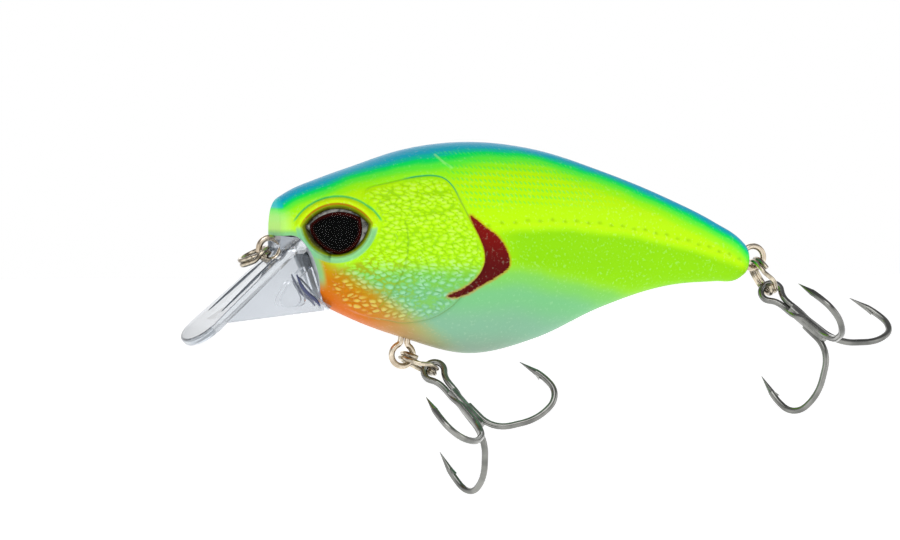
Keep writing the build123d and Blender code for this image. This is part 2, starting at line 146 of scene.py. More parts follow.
def curve_through(points, closed, steps=8):
    """Catmull-Rom curve through points, as short straight runs."""
    p = np.array(points, float)
    count = len(p) if closed else len(p) - 1
    out = []
    for i in range(count):
        four = i + np.arange(-1, 3)
        a, b, c, d = p[four % len(p)] if closed else p[np.clip(four, 0, len(p) - 1)]
        for t in np.arange(steps) / steps:
            out.append(0.5 * (2 * b + (c - a) * t + (2 * a - 5 * b + 4 * c - d) * t**2
                              + (3 * b - a - 3 * c + d) * t**3))
    if not closed:
        out.append(p[-1])
    return np.array(out)


def distance(x, z, line, closed):
    """Distance from (x, z) to a line of runs; with closed, negative inside it."""
    ends = np.roll(line, -1, axis=0) if closed else line[1:]
    starts = line if closed else line[:-1]
    best = np.full(x.shape, 1e9)
    inside = np.zeros(x.shape, bool)
    for (ax, az), (bx, bz) in zip(starts, ends):
        dx, dz = bx - ax, bz - az
        t = np.clip(((x - ax) * dx + (z - az) * dz) / max(dx * dx + dz * dz, 1e-12), 0, 1)
        best = np.minimum(best, np.hypot(x - ax - t * dx, z - az - t * dz))
        if closed:
            crosses = (az > z) != (bz > z)
            with np.errstate(divide="ignore", invalid="ignore"):
                at = ax + (z - az) * dx / (dz if dz else 1e-12)
            inside ^= crosses & (x < at)
    return np.where(inside, -best, best) if closed else best


def make_mesh(name, points, faces, material_index=None, smooth_faces=True):
    """Mesh object from points in millimetres."""
    mesh = bpy.data.meshes.new(name)
    mesh.from_pydata([tuple(p) for p in np.asarray(points) * MM], [], [list(f) for f in faces])
    mesh.update()
    if smooth_faces:
        mesh.polygons.foreach_set("use_smooth", [True] * len(mesh.polygons))
    if material_index is not None:
        mesh.polygons.foreach_set("material_index", material_index)
    thing = bpy.data.objects.new(name, mesh)
    bpy.context.scene.collection.objects.link(thing)
    return thing


def keep_value(thing, name, values):
    """Store one number per vertex, for the materials."""
    attribute = thing.data.attributes.new(name, "FLOAT", "POINT")
    attribute.data.foreach_set("value", np.asarray(values, np.float32))


# ------------------------------------------------------------------------ body shells
ROWS = 235                    # across each half section, from the back to the belly
COARSE = 6                    # the inner wall has a point for every so many outer ones
NOSE_WIDTH, TAIL_WIDTH = 3.1, 1.3     # half widths of the two end faces
FINE_END = 30.5               # the columns are 0.14 mm apart from the nose to here


def columns():
    """(distance from the nose, inset of the section) of each column, nose to tail."""
    quarter = [(EDGE_ROUND * (1 - cos(a)), EDGE_ROUND * (1 - sin(a))) for a in np.linspace(0, pi / 2, 7)]
    out = [(NOSE, EDGE_ROUND + (NOSE_WIDTH - EDGE_ROUND) * (1 - t)) for t in np.linspace(0, 1, 13)[:-1]]
    out += [(NOSE + along, inset) for along, inset in quarter[:-1]]
    out += [(x, 0) for x in np.arange(NOSE + EDGE_ROUND, FINE_END, 0.14)]
    out += [(x, 0) for x in np.linspace(FINE_END, TAIL - EDGE_ROUND, 112)]
    out += [(TAIL - along, inset) for along, inset in quarter[-2::-1]]
    out += [(TAIL, EDGE_ROUND + (TAIL_WIDTH - EDGE_ROUND) * t) for t in np.linspace(0, 1, 7)[1:]]
    spare = (len(out) - 1) % COARSE
    return np.array(out[: len(out) - 1 - spare] + [out[-1]])


def section(x, inset, low):
    """Half section at x, from the top down to the height low, evenly spaced along its edge."""
    top, bottom, wide = back(x) - inset, belly(x) + inset, half_width(x) - inset
    level = belly(x) + LEVEL_SHARE * (back(x) - belly(x))
    level = min(max(level, bottom), top)
    wide = max(wide, 0.0)
    if low <= bottom:
        end = -pi / 2
    elif low < level:
        end = -np.arcsin(min(1, (level - low) / (level - bottom)))
    else:
        end = np.arcsin(min(1, (low - level) / (top - level)))
    angle = np.linspace(pi / 2, end, 400)
    y = wide * np.cos(angle)
    z = level + np.where(angle > 0, top - level, level - bottom) * np.sin(angle)
    run = np.concatenate([[0], np.cumsum(np.hypot(np.diff(y), np.diff(z)))])
    at = np.linspace(0, run[-1], ROWS)
    y, z = np.interp(at, run, y), np.interp(at, run, z)
    y[0] = 0
    if end == -pi / 2:
        y[-1] = 0
    return y, z


def skin_grid(places, wall=0.0):
    """Points (column, row, 3) of one half's surface, a wall's depth in, with y measured outwards."""
    grid = np.zeros((len(places), ROWS, 3))
    for i, (x, inset) in enumerate(places):
        low = follow(MOUTH, x) if x < MOUTH_END else -99
        inner_x = np.clip(x, NOSE + wall, TAIL - wall)
        deeper = inset if not wall else wall
        y, z = section(inner_x, min(deeper, half_width(inner_x)), low)
        if inset >= half_width(x) - 1e-6:
            y[:] = 0
        grid[i, :, 0], grid[i, :, 1], grid[i, :, 2] = inner_x, y, z
    return grid


def outward(grid):
    """Unit normals of the bare body at the points of a grid, from its egg-shaped sections."""
    x, y, z = grid[..., 0], grid[..., 1], grid[..., 2]

    def egg(x, y, z):
        level = belly(x) + LEVEL_SHARE * (back(x) - belly(x))
        reach = np.where(z > level, back(x) - level, level - belly(x))
        return (y / half_width(x)) ** 2 + ((z - level) / reach) ** 2

    nudge = 0.02
    normal = np.stack([egg(x + nudge, y, z) - egg(x - nudge, y, z),
                       egg(x, y + nudge, z) - egg(x, y - nudge, z),
                       egg(x, y, z + nudge) - egg(x, y, z - nudge)], axis=-1)
    return normal / np.maximum(np.linalg.norm(normal, axis=-1, keepdims=True), 1e-9)


def eye_place(grid):
    """Where points lie on the eye's plane: rearward, up, and out of it."""
    dx, dy = grid[..., 0] - EYE_CENTRE[0], grid[..., 1] - EYE_CENTRE[1]
    rear = dx * cos(EYE_TURN) + dy * sin(EYE_TURN)
    out = dy * cos(EYE_TURN) - dx * sin(EYE_TURN)
    return rear, grid[..., 2] - EYE_CENTRE[2], out


def disc_through(a, b, c):
    """Centre and radius of the disc whose edge passes through three points."""
    a, b, c = (np.array(p) for p in (a, b, c))
    sides = 2 * np.array([b - a, c - a])
    centre = np.linalg.solve(sides, [b @ b - a @ a, c @ c - a @ a])
    return centre, np.hypot(*(a - centre))


PUPIL_DISCS = [disc_through(*arc) for arc in PUPIL_ARCS]
SOCKET_DISCS = [disc_through(*arc) for arc in SOCKET_ARCS]


def eye_edge(rear, up, discs):
    """Distance outside an eye outline, which is where its discs overlap; negative inside."""
    return np.max([np.hypot(rear - c[0], up - c[1]) - r for c, r in discs], axis=0)


def pupil_edge(rear, up):
    """Distance outside the pupil; negative inside."""
    return eye_edge(rear, up, PUPIL_DISCS)


def lens_edge(rear, up):
    """Distance outside the lens, which the socket's sloping rim surrounds; negative inside."""
    below, elsewhere, front = LENS_INSET
    inset = below + (elsewhere - below) * smooth(-2.8, -0.8, up)
    lower_front = smooth(-0.6, -2.2, rear) * smooth(1.0, 0.0, up)
    return eye_edge(rear, up, SOCKET_DISCS) + inset + (front - inset) * lower_front


def pebbles(x, z, mask):
    """Height of the pebbled texture at each point, 0 to 1, where the mask is above 0."""
    out = np.zeros(mask.shape)
    for spot in zip(*np.nonzero(mask > 0)):
        along, height = x[spot], z[spot]
        near = noise.voronoi(Vector((along / 0.98 + 0.3 * sin(height * 2.7), height / 0.52, 0.3)))[0]
        rough = noise.noise(Vector((along * 1.3, height * 1.9, 5.0)))
        mound = max(0.0, 1.0 - (near[0] / 0.80) ** 2) * min(1.0, (near[1] - near[0]) / 0.22)
        out[spot] = min(1.0, mound * (0.95 + 0.5 * rough))
    return out


def dimples(x, z):
    """Shares, 0 to 1, of the dimples along the lateral line and of the small ridges below them."""
    pits, ridges = np.zeros(x.shape), np.zeros(x.shape)
    place = LATERAL[0, 0]
    for k in range(DIMPLES):
        pit_z = float(follow(LATERAL, place)) + (0.12 if k % 2 else -0.05)
        away = np.hypot(x - place, (z - pit_z) * 1.15)
        pits = np.maximum(pits, np.exp(-(away / DIMPLE_RADIUS) ** 2))
        ridges += np.exp(-(np.hypot(x - place, z - pit_z + 0.42) / 0.25) ** 2)
        place += DIMPLE_PITCH - DIMPLE_CLOSING * k / DIMPLES
    return pits, ridges


def follow_line(points, z):
    """Distance from the nose of a line of points, at each height."""
    p = np.array(points)[::-1]
    return np.interp(z, p[:, 1], p[:, 0])


def side_lines(x, z):
    """Distances from the curves on the side of the fish, for the relief and the paint."""
    rim_x = np.linspace(MOUTH[1, 0], MOUTH_END, 60)
    return {
        "below_back": back(x) - z,
        "below_line": follow(LATERAL, x) - z,
        "gill_red": distance(x, z, curve_through(BLUSH, True), True),
        "cover": distance(x, z, curve_through(GILL_COVER, True), True),
        "cheek": distance(x, z, curve_through(CHEEK_LINE, False), False),
        "neck": distance(x, z, curve_through(NECK_LINE, False), False),
        "mouth": distance(x, z, np.stack([rim_x, follow(MOUTH, rim_x)], axis=1), False),
    }


def skin_relief(x, z, up, edge, lines):
    """Height of the relief over the bare body, and more values for the paint."""
    cover, cheek, below_line = lines["cover"], lines["cheek"], lines["below_line"]
    # Gill cover and cheek.
    behind_eye = smooth(9.0, 13.0, x)
    relief = smooth(0.22, -0.22, cover) * (GILL_STEP_FRONT + (GILL_STEP - GILL_STEP_FRONT) * behind_eye)
    relief -= GILL_GROOVE * np.exp(-((cover - 0.28) / 0.16) ** 2) * behind_eye
    swell = np.where(x < follow_line(CHEEK_LINE, z), np.exp(-(cheek / 1.6) ** 2), 0)
    relief += CHEEK_SWELL * swell * smooth(-8, -6, z) * smooth(6, 4, z)
    relief -= CHEEK_GROOVE * np.exp(-(cheek / 0.13) ** 2) * smooth(4.2, 2.6, z)
    # Pebbles inside the gill cover, lower towards its top.
    patch = smooth(0.0, -0.8, cover) * smooth(0.7, 1.5, edge - 0.2 * np.clip(up, 0, 3))
    bumps = pebbles(x, z, patch) * patch
    relief += PEBBLE_HEIGHT * bumps * (1 - 0.75 * smooth(5.0, 7.6, z - 0.12 * (x - 12)))
    # Flank: the hollow below the lateral line, the dimples on it, the red patch and the neck line.
    hollow = smooth(0.2, 1.5, below_line) * smooth(6.8, 3.4, below_line)
    relief -= FLANK_HOLLOW * hollow * smooth(29.5, 34, x) * smooth(63, 56, x)
    pits, ridges = dimples(x, z)
    relief += DIMPLE_RIDGE * ridges - DIMPLE_DEPTH * pits
    relief -= BLUSH_DEPTH * smooth(0.05, -0.25, lines["gill_red"])
    relief += NECK_STEP * smooth(0.25, -0.25, lines["neck"])
    # Rim round the eye, heavier above as a brow with a crease over it.
    brow = smooth(0.2, 2.4, up)
    rim_width = 0.72 + 0.42 * brow
    rim = np.clip((edge + 0.12) / rim_width, 0, 1)
    relief += (RIM_HEIGHT + BROW_HEIGHT * brow) * np.sin(pi * rim) ** 0.8 * (edge < rim_width)
    relief -= BROW_CREASE * np.exp(-((edge - rim_width - 0.06) / 0.14) ** 2) * brow
    return relief, {"brow": brow, "pebble": bumps, "pebbled": patch, "pits": pits}


def inner_wall(places):
    """Coarser grid of one half's inner wall, set back behind the eye's socket."""
    grid = skin_grid(places[::COARSE], wall=WALL)[:, ::COARSE]
    grid[:, 0, 1] = 0
    rear, up, out = eye_place(grid)
    edge = np.where(grid[..., 0] < HEAD_END, eye_edge(rear, up, SOCKET_DISCS), OFF_EYE)
    sunk = smooth(1.0, 0.3, edge) * np.maximum(out + EYE_SEAT + 1.0, 0)
    grid[..., 0] += sin(EYE_TURN) * sunk
    grid[..., 1] = np.maximum(grid[..., 1] - cos(EYE_TURN) * sunk, 0)
    return grid


def body_skin():
    """Grids of one half's outer skin and inner wall, and the values for its paint."""
    places = columns()
    grid = skin_grid(places)
    x, z = grid[..., 0], grid[..., 2]
    rear, up, out = eye_place(grid)
    beside_eye = (x < HEAD_END) & (grid[..., 1] >= 1.5)
    edge = np.where(beside_eye, eye_edge(rear, up, SOCKET_DISCS), OFF_EYE)
    hole = np.where(edge < OFF_EYE / 2, lens_edge(rear, up), OFF_EYE)
    lines = side_lines(x, z)
    relief, marks = skin_relief(x, z, up, edge, lines)
    # The end faces and their rounded edges stay smooth.
    free = places[:, 1] == 0
    marks["pebble"][~free] = 0
    marks["pebbled"][~free] = 0
    relief[~free] = 0
    grid = grid + outward(grid) * relief[..., None]
    # The eye's socket: a flat seat, and a sloping rim round it.
    push = smooth(0.06, -0.10, hole) * (out + EYE_SEAT)
    push += SOCKET_SLOPE * smooth(0.10, -0.35, edge) * smooth(-0.06, 0.10, hole)
    grid[..., 0] += sin(EYE_TURN) * push
    grid[..., 1] -= cos(EYE_TURN) * push
    return grid, inner_wall(places), {**lines, **marks, "eye": edge}


def shell_faces(outer_shape, inner_shape):
    """Faces of the outer skin, the inner wall and the strips that close them, and their materials."""
    outer = np.arange(np.prod(outer_shape)).reshape(outer_shape)
    inner = np.arange(np.prod(inner_shape)).reshape(inner_shape) + outer.size
    faces = []
    for ids, flip in ((outer, False), (inner, True)):
        quads = np.stack([ids[:-1, :-1], ids[1:, :-1], ids[1:, 1:], ids[:-1, 1:]], axis=-1).reshape(-1, 4)
        faces += [list(q) for q in (quads[:, ::-1] if flip else quads)]

    def strip(outer_line, inner_line, flip):
        for k in range(len(inner_line) - 1):
            face = list(outer_line[k * COARSE:(k + 1) * COARSE + 1]) + [inner_line[k + 1], inner_line[k]]
            faces.append(face[::-1] if flip else face)

    strip(outer[:, 0], inner[:, 0], True)
    strip(outer[:, -1], inner[:, -1], False)
    strip(outer[0, :], inner[0, :], False)
    strip(outer[-1, :], inner[-1, :], True)
    painted = (outer_shape[0] - 1) * (outer_shape[1] - 1)
    return faces, [0] * painted + [1] * (len(faces) - painted)


def build_shell(side, name, node, outer, inner, values):
    """One half of the body as a closed shell, with the values for its paint."""
    faces, kinds = shell_faces(outer.shape[:2], inner.shape[:2])
    points = np.concatenate([outer.reshape(-1, 3), inner.reshape(-1, 3)])
    points[:, 1] *= side
    if side > 0:
        faces = [f[::-1] for f in faces]
    shell = make_mesh(name, points, faces, kinds)
    unpainted = np.zeros(inner[..., 0].size)
    for label, value in values.items():
        keep_value(shell, label, np.concatenate([value.ravel(), unpainted]))
    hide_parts(node)
    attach(shell, "lure")
    return shell


skin, lining, skin_values = body_skin()
left = build_shell(-1, "left_body_shell", "left_shell", skin, lining, skin_values)
right = build_shell(1, "right_body_shell", "right_shell", skin, lining, skin_values)


# ---------------------------------------------------------------------------- materials
def linear(red, green, blue):
    """Linear colour from screen values of 0 to 255."""
    return tuple((v / 255 / 12.92 if v <= 10 else ((v / 255 + 0.055) / 1.055) ** 2.4)
                 for v in (red, green, blue)) + (1.0,)


class Maker:
    """Short names for building one material's nodes."""

    def __init__(self, name):
        self.material = bpy.data.materials.new(name)
        self.material.use_nodes = True
        self.tree = self.material.node_tree
        self.shader = self.tree.nodes["Principled BSDF"]

    def put(self, socket, value):
        """Link an output to a socket, or set the socket to a constant."""
        if isinstance(value, bpy.types.NodeSocket):
            self.tree.links.new(value, socket)
        elif value is not None:
            socket.default_value = value

    def node(self, kind, **settings):
        made = self.tree.nodes.new(kind)
        for key, value in settings.items():
            setattr(made, key, value)
        return made

    def value(self, name):
        """A number kept on the mesh's points."""
        return self.node("ShaderNodeAttribute", attribute_name=name).outputs["Fac"]

    def place(self):
        return self.node("ShaderNodeTexCoord").outputs["Object"]

    def sums(self, operation, a, b=None):
        """One step of arithmetic."""
        made = self.node("ShaderNodeMath", operation=operation)
        self.put(made.inputs[0], a)
        self.put(made.inputs[1], b)
        return made.outputs[0]

    def between(self, value, low, high):
        """0 at low, 1 at high, smooth in between; low may be above high."""
        made = self.node("ShaderNodeMapRange", interpolation_type="SMOOTHSTEP", clamp=True)
        self.put(made.inputs["Value"], value)
        flip = low > high
        made.inputs["From Min"].default_value = high if flip else low
        made.inputs["From Max"].default_value = low if flip else high
        made.inputs["To Min"].default_value = 1.0 if flip else 0.0
        made.inputs["To Max"].default_value = 0.0 if flip else 1.0
        return made.outputs["Result"]

    def ramp(self, value, stops):
        """Colour from (position, colour) stops; positions run from the first stop to the last."""
        low, high = stops[0][0], stops[-1][0]
        scaled = self.node("ShaderNodeMapRange", clamp=True)
        self.put(scaled.inputs["Value"], value)
        scaled.inputs["From Min"].default_value = low
        scaled.inputs["From Max"].default_value = high
        made = self.node("ShaderNodeValToRGB")
        made.color_ramp.interpolation = "EASE"
        elements = made.color_ramp.elements
        while len(elements) < len(stops):
            elements.new(0.5)
        for element, (at, _) in zip(elements, stops):
            element.position = (at - low) / (high - low)
        for element, (_, colour) in zip(elements, stops):
            element.color = colour
        self.put(made.inputs[0], scaled.outputs["Result"])
        return made.outputs["Color"]

    def mix(self, share, a, b):
        """Colour a at share 0, colour b at share 1."""
        made = self.node("ShaderNodeMix", data_type="RGBA")
        self.put(made.inputs[0], share)
        self.put(made.inputs[6], a)
        self.put(made.inputs[7], b)
        return made.outputs[2]

    def noise(self, scale, detail=2.0, stretch=(1, 1, 1)):
        mapping = self.node("ShaderNodeMapping")
        mapping.inputs["Scale"].default_value = stretch
        self.put(mapping.inputs["Vector"], self.place())
        made = self.node("ShaderNodeTexNoise")
        made.inputs["Scale"].default_value = scale
        made.inputs["Detail"].default_value = detail
        self.put(made.inputs["Vector"], mapping.outputs["Vector"])
        return made.outputs["Fac"]

    def bump(self, height, strength, depth):
        """Fine relief, its depth in millimetres."""
        made = self.node("ShaderNodeBump")
        made.inputs["Strength"].default_value = strength
        made.inputs["Distance"].default_value = depth * MM
        self.put(made.inputs["Height"], height)
        self.put(self.shader.inputs["Normal"], made.outputs["Normal"])

    def set(self, **values):
        for key, value in values.items():
            self.put(self.shader.inputs[key.replace("_", " ")], value)
        return self.material


def split_place(maker):
    """Place on the object, as x, y and z in millimetres."""
    made = maker.node("ShaderNodeSeparateXYZ")
    maker.put(made.inputs[0], maker.place())
    return [maker.sums("MULTIPLY", s, 1 / MM) for s in made.outputs]


def paint():
    """Airbrushed body: blue back to green and chartreuse, mint belly, orange throat, red gill, with some
    painted highlights and painted shade.
    """
    m = Maker("airbrushed_paint_with_painted_light")
    x, y, z = split_place(m)
    below = m.value("below_back")
    line = m.value("below_line")
    speckle = m.noise(2600, 3)
    wander = m.sums("MULTIPLY", m.sums("SUBTRACT", m.noise(180, 2), 0.5), 0.8)
    rear = m.between(x, 22, 34)
    head = m.between(x, 21, 9)
    faster = m.sums("ADD", m.sums("MULTIPLY", rear, 0.45), m.sums("MULTIPLY", head, 0.7))
    deep = m.sums("MULTIPLY", m.sums("ADD", below, wander), m.sums("ADD", faster, 1.0))
    lime_side = m.ramp(deep, [
        (0.0, linear(0, 162, 200)),
        (0.75, linear(0, 172, 198)),
        (1.25, linear(0, 198, 160)),
        (1.8, linear(0, 230, 92)),
        (2.6, linear(92, 242, 58)),
        (3.8, linear(152, 244, 22)),
        (5.4, linear(184, 242, 2)),
    ])
    darker = m.between(m.sums("ADD", line, wander), 0.4, 1.9)
    darker = m.sums("MULTIPLY", darker, m.sums("ADD", m.sums("MULTIPLY", m.between(x, 24, 32), 0.8), 0.2))
    colour = m.mix(darker, lime_side, linear(140, 214, 2))
    # Mint belly: its upper edge sinks towards the tail, and the mint greys and darkens towards the bottom as
    # painted shade of the light from above.
    sink = m.sums("MULTIPLY", m.between(x, 28, 56), 4.6)
    above_mint = m.sums("ADD", m.sums("ADD", z, sink), m.sums("MULTIPLY", wander, 1.2))
    shaded_mint = m.ramp(m.sums("MULTIPLY", above_mint, -1.0), [
        (1.2, linear(150, 216, 50)),
        (3.4, linear(124, 202, 92)),
        (6.0, linear(118, 190, 128)),
        (10.0, linear(128, 178, 146)),
        (14.0, linear(134, 160, 140)),
    ])
    colour = m.mix(m.between(above_mint, -0.8, -3.8), colour, shaded_mint)
    # Orange throat, spreading back along the belly.
    depth = m.sums("SUBTRACT", m.sums("MULTIPLY", z, -1.0), m.sums("MULTIPLY", x, 0.62))
    depth = m.sums("ADD", depth, m.sums("MULTIPLY", m.sums("SUBTRACT", speckle, 0.5), 1.2))
    orange = m.sums("MULTIPLY", m.between(depth, -3.7, -1.0), m.between(x, 30, 9))
    hue = m.ramp(depth, [
        (-3.6, linear(178, 186, 10)),
        (-1.8, linear(188, 150, 0)),
        (0.2, linear(200, 118, 0)),
        (2.2, linear(206, 102, 0)),
    ])
    colour = m.mix(orange, colour, hue)
    # Pebbled plates: painted highlights on the pale tops, and painted shade in the grooves, ochre in the
    # lower front and green elsewhere.
    pebbled = m.value("pebbled")
    # Painted highlight: the tops of the pebbles are lightened towards pale lime, mint or yellow.
    lit_tops = m.between(m.value("pebble"), 0.35, 0.95)
    painted_top_highlight = m.mix(m.between(z, 0.5, -4.5), linear(206, 248, 96), linear(168, 222, 186))
    painted_top_highlight = m.mix(orange, painted_top_highlight, linear(222, 222, 104))
    colour = m.mix(m.sums("MULTIPLY", lit_tops, 0.55), colour, painted_top_highlight)
    # Painted shade: the pebbles' grooves in the lower front are darkened towards ochre.
    shaded_grooves = m.sums("MULTIPLY", m.between(m.value("pebble"), 0.30, 0.0), pebbled)
    shaded_grooves = m.sums("MULTIPLY", shaded_grooves, m.between(x, 20, 8))
    shaded_grooves = m.sums("MULTIPLY", shaded_grooves, m.between(z, 0.8, -2.6))
    colour = m.mix(m.sums("MULTIPLY", shaded_grooves, 0.8), colour, linear(190, 122, 4))
    # Painted shade: outside the orange, the pebbles' troughs are darkened to a deeper green.
    shaded_troughs = m.sums("MULTIPLY", m.between(m.value("pebble"), 0.35, 0.0), pebbled)
    shaded_troughs = m.sums("MULTIPLY", shaded_troughs, m.sums("SUBTRACT", 1.0, orange))
    colour = m.mix(m.sums("MULTIPLY", shaded_troughs, 0.5), colour, linear(122, 190, 4))
    # Edges of the gill cover and cheek, and the neck line.
    cover_line = m.between(m.sums("ABSOLUTE", m.sums("SUBTRACT", m.value("cover"), 0.2)), 0.22, 0.06)
    cover_front = m.sums("SUBTRACT", x, m.sums("MULTIPLY", m.between(z, 3, 7), 3.5))
    cover_line = m.sums("MULTIPLY", cover_line, m.between(cover_front, 12.0, 14.0))
    upper = m.between(z, 5.5, 8.6)
    colour = m.mix(m.sums("MULTIPLY", cover_line, m.sums("ADD", m.sums("MULTIPLY", upper, 0.45), 0.42)),
                   colour, m.mix(upper, linear(112, 150, 70), linear(2, 190, 120)))
    cheek_line = m.sums("MULTIPLY", m.between(m.value("cheek"), 0.22, 0.05), m.between(z, 4.4, 2.6))
    colour = m.mix(m.sums("MULTIPLY", cheek_line, 0.28), colour, linear(110, 165, 40))
    neck_line = m.between(m.value("neck"), 0.30, 0.05)
    colour = m.mix(m.sums("MULTIPLY", neck_line, 0.45), colour, linear(170, 250, 140))
    # Fine rows of scales behind the head.
    leaning = m.sums("ADD", x, m.sums("MULTIPLY", z, 0.55))
    scale_zone = m.sums("MULTIPLY", m.between(leaning, 26.6, 28.2),
                        m.sums("MULTIPLY", m.between(line, -1.2, -3.0), m.between(x, 50, 36)))
    scale_zone = m.sums("MULTIPLY", scale_zone, m.between(below, 0.5, 1.6))
    slant = m.sums("SINE", m.sums("MULTIPLY", leaning, 10.5))
    level = m.sums("SINE", m.sums("MULTIPLY", m.sums("ADD", z, m.sums("MULTIPLY", x, 0.06)), 7.4))
    scales = m.sums("MULTIPLY", m.between(m.sums("ADD", slant, level), 0.2, 1.6), scale_zone)
    colour = m.mix(m.sums("MULTIPLY", scales, 0.5), colour, linear(60, 238, 80))
    # Red crescent behind the gill cover.
    fringe = m.sums("MULTIPLY", m.sums("SUBTRACT", m.noise(2200, 3, (1, 1, 2.2)), 0.5), 0.35)
    ragged = m.sums("ADD", m.value("gill_red"), fringe)
    colour = m.mix(m.sums("MULTIPLY", m.between(ragged, 0.42, 0.0), 0.6), colour, linear(196, 120, 20))
    red = m.mix(m.between(z, 2.5, -3), linear(122, 8, 2), linear(86, 1, 2))
    colour = m.mix(m.between(ragged, 0.10, -0.10), colour, red)
    # Snout patch, mouth edge and the ring round the eye.
    snout = m.sums("MULTIPLY", m.between(x, 1.25, 0.95), m.between(z, 5.1, 5.5))
    colour = m.mix(snout, colour, linear(20, 190, 196))
    pale = m.sums("MULTIPLY", m.between(x, 2.4, 0.8), m.between(z, 5.6, 4.0))
    colour = m.mix(m.sums("MULTIPLY", pale, 0.6), colour, linear(180, 240, 140))
    mouth_edge = m.sums("MULTIPLY", m.between(m.value("mouth"), 0.95, 0.35), m.between(z, -5.6, -3.4))
    mouth_edge = m.sums("MULTIPLY", mouth_edge, m.between(x, 9.5, 7.5))
    colour = m.mix(m.sums("MULTIPLY", mouth_edge, 0.85), colour,
                   m.mix(m.between(m.value("mouth"), 0.7, 0.1), linear(132, 200, 104), linear(120, 190, 138)))
    eye = m.value("eye")
    brow = m.value("brow")
    ring = m.sums("MULTIPLY", m.between(eye, 0.95, 0.70), m.between(eye, -0.10, 0.02))
    lower = m.sums("MULTIPLY", ring, m.between(brow, 0.30, 0.02))
    colour = m.mix(m.sums("MULTIPLY", lower, 0.8), colour, linear(124, 196, 150))
    upper_ring = m.sums("MULTIPLY", m.between(eye, 1.12, 0.9), brow)
    colour = m.mix(m.sums("MULTIPLY", upper_ring, 0.85), colour, linear(196, 232, 2))
    lip_of_socket = m.between(m.sums("ABSOLUTE", m.sums("SUBTRACT", eye, 0.06)), 0.17, 0.05)
    colour = m.mix(m.sums("MULTIPLY", lip_of_socket, m.sums("ADD", 0.35, m.sums("MULTIPLY", brow, 0.5))),
                   colour, m.mix(brow, linear(112, 132, 20), linear(176, 92, 4)))
    # Painted shade: the socket's sloping wall darkens to olive towards the lens.
    socket_wall_shade = m.ramp(eye, [
        (-0.5, linear(48, 46, 8)),
        (-0.28, linear(96, 104, 10)),
        (0.0, linear(140, 168, 10)),
    ])
    colour = m.mix(m.between(eye, 0.04, -0.08), colour, socket_wall_shade)
    brow_crease = m.sums("MULTIPLY", m.between(m.sums("ABSOLUTE", m.sums("SUBTRACT", eye, 1.2)), 0.20, 0.05),
                         m.between(brow, 0.55, 0.95))
    colour = m.mix(m.sums("MULTIPLY", brow_crease, 0.75), colour, linear(2, 190, 104))
    pits = m.value("pits")
    colour = m.mix(m.sums("MULTIPLY", pits, 0.35), colour, linear(80, 140, 10))
    colour = m.mix(m.sums("MULTIPLY", m.between(speckle, 0.56, 0.72), 0.08), colour, linear(240, 255, 220))
    m.bump(m.sums("ADD", m.sums("MULTIPLY", scales, 1.0), m.sums("MULTIPLY", speckle, 0.10)), 0.5, 0.05)
    return m.set(Base_Color=colour, Roughness=0.38, Coat_Weight=0.06, Coat_Roughness=0.08,
                 Specular_IOR_Level=0.06)


def inner_plastic():
    m = Maker("bare_shell_plastic")
    grain = m.noise(900, 3)
    colour = m.ramp(grain, [(0.3, linear(150, 156, 160)), (0.7, linear(176, 182, 186))])
    m.bump(grain, 0.3, 0.03)
    return m.set(Base_Color=colour, Roughness=0.5)


def metal(name, dark, light, roughness, grain_scale):
    m = Maker(name)
    grain = m.noise(grain_scale, 4)
    blotch = m.noise(420, 2)
    colour = m.ramp(m.sums("ADD", m.sums("MULTIPLY", grain, 0.6), m.sums("MULTIPLY", blotch, 0.4)),
                    [(0.32, dark), (0.68, light)])
    low, high = roughness
    rough = m.node("ShaderNodeMapRange")
    m.put(rough.inputs["Value"], grain)
    rough.inputs["To Min"].default_value = low
    rough.inputs["To Max"].default_value = high
    m.bump(grain, 0.12, 0.01)
    return m.set(Base_Color=colour, Metallic=1.0, Roughness=rough.outputs["Result"])


def clear_plastic(name, tint, roughness, ior, clarity, gloss):
    m = Maker(name)
    swirl = m.noise(120, 2)
    m.bump(swirl, 0.06, 0.05)
    colour = m.ramp(swirl, [(0.3, tint), (0.7, tuple(min(1.0, c * 1.02) for c in tint[:3]) + (1.0,))])
    return m.set(Base_Color=colour, Roughness=roughness, IOR=ior, Transmission_Weight=clarity,
                 Specular_IOR_Level=gloss)


